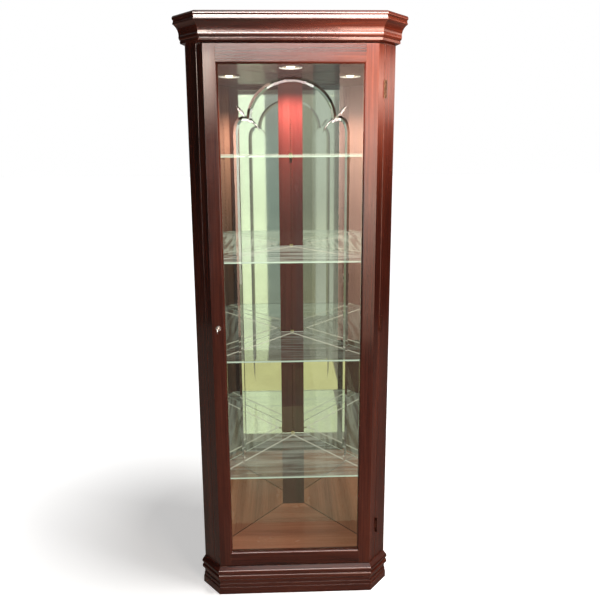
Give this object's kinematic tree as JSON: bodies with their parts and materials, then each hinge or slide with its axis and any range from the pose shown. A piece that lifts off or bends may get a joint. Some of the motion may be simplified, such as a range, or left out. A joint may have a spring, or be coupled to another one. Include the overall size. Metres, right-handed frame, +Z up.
{
  "type": "corner curio cabinet",
  "caption": "Tall corner display cabinet with a glazed door between canted sides, glass shelves, mirrored back and a ceiling light.",
  "frame": {"origin": "under the middle of the cabinet's box, on the floor", "axes": "+Z up, the door faces -Y, the corner of the room is towards +Y, the hinges are at +X"},
  "size_m": [0.7066, 0.3948, 1.934],
  "materials": {
    "mahogany": "satin lacquer",
    "carcase_wood": "planed",
    "plywood": "sanded",
    "mirror": "silvered glass",
    "door_glass": "clear, with V grooves",
    "shelf_glass": "clear, polished edges",
    "brass": "polished",
    "steel": "zinc plated",
    "bumper": "soft",
    "white_metal": "gloss",
    "lamp": "frosted",
    "ceramic": "glazed",
    "black_plastic": "moulded"
  },
  "bodies": {
    "case": {"left_side_panel": "mahogany", "right_side_panel": "mahogany", "floor_panel": "mahogany", "top_panel": "mahogany", "plinth_board": "mahogany", "header_board": "mahogany", "top_front_rail": "carcase_wood", "back_post": "mahogany", "glue_blocks": "carcase_wood", "base_rail_left": "carcase_wood", "base_rail_right": "carcase_wood", "top_rail_left": "carcase_wood", "top_rail_right": "carcase_wood", "left_back_board": "plywood", "right_back_board": "plywood", "left_mirror": "mirror", "right_mirror": "mirror", "crown_front": "mahogany", "crown_left": "mahogany", "crown_right": "mahogany", "base_moulding_front": "mahogany", "base_moulding_left": "mahogany", "base_moulding_right": "mahogany", "shelf_supports": "brass", "hinge_screws_case": "brass", "light_can": "white_metal", "light_trim_ring": "white_metal", "light_lamp": "lamp", "light_socket": "ceramic", "cord_grommet": "black_plastic", "top_hinge_case_leaf": "brass", "middle_hinge_case_leaf": "brass", "low_hinge_case_leaf": "brass", "top_hinge_pin": "brass", "middle_hinge_pin": "brass", "low_hinge_pin": "brass"},
    "door": {"lock_stile": "mahogany", "hinge_stile": "mahogany", "door_top_rail": "mahogany", "door_bottom_rail": "mahogany", "door_glass": "door_glass", "glass_stops": "mahogany", "door_bumpers": "bumper", "lock_body": "brass", "lock_nut": "steel", "hinge_screws_door": "brass", "top_hinge_door_leaf": "brass", "middle_hinge_door_leaf": "brass", "low_hinge_door_leaf": "brass"},
    "lock_barrel": {"lock_plug": "brass", "lock_cam": "steel", "cam_screw": "steel"},
    "key": {"key": "brass"},
    "shelf_1": {"glass_shelf_1": "shelf_glass"},
    "shelf_2": {"glass_shelf_2": "shelf_glass"},
    "shelf_3": {"glass_shelf_3": "shelf_glass"},
    "shelf_4": {"glass_shelf_4": "shelf_glass"}
  },
  "joints": [
    {"name": "door_hinge", "type": "hinge", "parent": "case", "child": "door", "pos_m": [0.28828, -0.13272, 0.978], "axis": [0, 0, 1], "range_deg": [0, 130]},
    {"name": "lock_turn", "type": "hinge", "parent": "door", "child": "lock_barrel", "pos_m": [-0.2415, -0.15447, 0.975], "axis": [0, 1, 0], "range_deg": [0, 90]},
    {"name": "key_withdraw", "type": "slide", "parent": "lock_barrel", "child": "key", "axis": [0, -1, 0], "range_m": [0, 0.03]},
    {"name": "shelf_1_lift", "type": "slide", "parent": "case", "child": "shelf_1", "axis": [0, 0, 1], "range_m": [0, 0.0146]},
    {"name": "shelf_2_lift", "type": "slide", "parent": "case", "child": "shelf_2", "axis": [0, 0, 1], "range_m": [0, 0.0146]},
    {"name": "shelf_3_lift", "type": "slide", "parent": "case", "child": "shelf_3", "axis": [0, 0, 1], "range_m": [0, 0.0146]},
    {"name": "shelf_4_lift", "type": "slide", "parent": "case", "child": "shelf_4", "axis": [0, 0, 1], "range_m": [0, 0.0146]}
  ]
}
